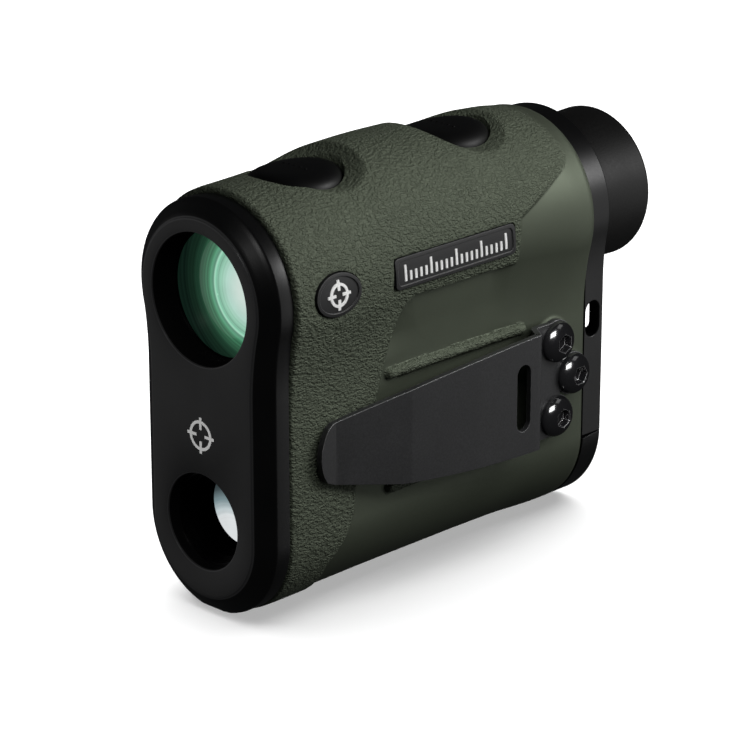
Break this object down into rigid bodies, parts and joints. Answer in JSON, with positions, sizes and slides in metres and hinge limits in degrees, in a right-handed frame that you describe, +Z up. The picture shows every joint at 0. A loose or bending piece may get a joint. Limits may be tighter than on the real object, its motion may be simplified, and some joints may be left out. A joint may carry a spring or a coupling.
{
  "type": "laser rangefinder",
  "caption": "Hand-held laser rangefinder: rubber-armoured monocular body with objective, laser window, top buttons, turning eyecup, battery door and sprung belt clip.",
  "frame": {"origin": "on the narrow flat base, in the mid plane, 45 mm behind the front face", "axes": "+Y along the sight axis towards the eyepiece, +Z up, +X towards the belt clip"},
  "size_m": [0.0388, 0.0996, 0.077],
  "materials": {
    "armor_rubber": "matt moulded rubber, finely pebbled",
    "black_shell": "satin black, fine texture",
    "button_rubber": "smooth black silicone rubber",
    "eyecup_rubber": "smooth black rubber",
    "plate_black": "dark grey, satin gloss",
    "mark_white": "pale grey paint",
    "inner_plastic": "black glass-filled nylon",
    "seal_rubber": "matt",
    "steel_screw": "plain steel",
    "black_screw": "gloss black oxide",
    "brass": "turned brass",
    "clip_steel": "semi-matt black coating",
    "black_aluminium": "black anodised",
    "objective_glass": "green anti-reflection coating",
    "laser_glass": "blue-white coating",
    "clear_glass": "polished",
    "circuit_board": "green solder mask",
    "board_parts": "black moulded parts",
    "switch_plastic": "red nylon",
    "sensor_can": "gold-plated can",
    "contact_steel": "nickel-plated spring steel",
    "battery_case": "plain printed sleeve"
  },
  "bodies": {
    "housing": {"armor": "armor_rubber", "front_bezel": "black_shell", "rear_frame": "black_shell", "name_plate_left": "plate_black", "name_plate_right": "plate_black", "badge_left": "plate_black", "badge_right": "plate_black", "scale_ticks": "mark_white", "badge_marks": "mark_white", "front_emblem": "mark_white", "housing_left": "inner_plastic", "housing_right": "inner_plastic", "laser_tube": "inner_plastic", "display_mount": "inner_plastic", "eyepiece_tube": "inner_plastic", "battery_tube": "inner_plastic", "front_gasket": "seal_rubber", "rear_gasket": "seal_rubber", "objective_o_ring": "seal_rubber", "housing_screws": "steel_screw", "rear_frame_screws": "steel_screw", "hinge_pin": "steel_screw", "clip_screws": "black_screw", "threaded_inserts": "brass", "clip_base": "clip_steel", "objective_barrel": "black_aluminium", "objective_retaining_ring": "black_aluminium", "laser_retaining_ring": "black_aluminium", "prism_cage": "black_aluminium", "objective_front_lens": "objective_glass", "objective_rear_lens": "objective_glass", "laser_lens": "laser_glass", "front_prism": "clear_glass", "roof_prism": "clear_glass", "display_glass": "clear_glass", "main_board": "circuit_board", "button_board": "circuit_board", "receiver_board": "circuit_board", "laser_board": "circuit_board", "board_parts": "board_parts", "switches": "board_parts", "receiver": "sensor_can", "laser_diode": "sensor_can", "battery_contact": "contact_steel", "battery": "battery_case"},
    "front_button_group": {"front_button": "button_rubber", "front_switch_plunger": "switch_plastic"},
    "rear_button_group": {"rear_button": "button_rubber", "rear_switch_plunger": "switch_plastic"},
    "eyecup_group": {"diopter_ring": "inner_plastic", "eyecup": "eyecup_rubber"},
    "eyepiece_lens_group": {"eyepiece_cell": "black_aluminium", "field_lens": "clear_glass", "eye_lens": "clear_glass"},
    "battery_door_group": {"battery_door": "black_shell", "door_seal": "seal_rubber", "door_contact": "contact_steel"},
    "clip_spring": {"clip_leaf": "clip_steel"}
  },
  "joints": [
    {"name": "front_button_press", "type": "slide", "parent": "housing", "child": "front_button_group", "axis": [0, 0, -1], "range_m": [0, 0.0005], "stiffness_N_per_m": 5000},
    {"name": "rear_button_press", "type": "slide", "parent": "housing", "child": "rear_button_group", "axis": [0, 0, -1], "range_m": [0, 0.0005], "stiffness_N_per_m": 5000},
    {"name": "diopter_turn", "type": "hinge", "parent": "housing", "child": "eyecup_group", "pos_m": [0, 0.047, 0.0564], "axis": [0, 1, 0], "range_deg": [-60, 60]},
    {"name": "eyepiece_focus", "type": "slide", "parent": "housing", "child": "eyepiece_lens_group", "axis": [0, 1, 0], "range_m": [-0.001, 0.001]},
    {"name": "battery_door_hinge", "type": "hinge", "parent": "housing", "child": "battery_door_group", "pos_m": [0, 0.0385, 0.0015], "axis": [-1, 0, 0], "range_deg": [0, 90]},
    {"name": "clip_flex", "type": "hinge", "parent": "housing", "child": "clip_spring", "pos_m": [0.0202, 0.0178, 0.0287], "axis": [0, 0, 1], "range_deg": [0, 6], "stiffness_Nm_per_rad": 5.5}
  ],
  "couplings": [
    {"joint": "eyepiece_focus", "follows": "diopter_turn", "m_per_rad": 0.00095}
  ]
}
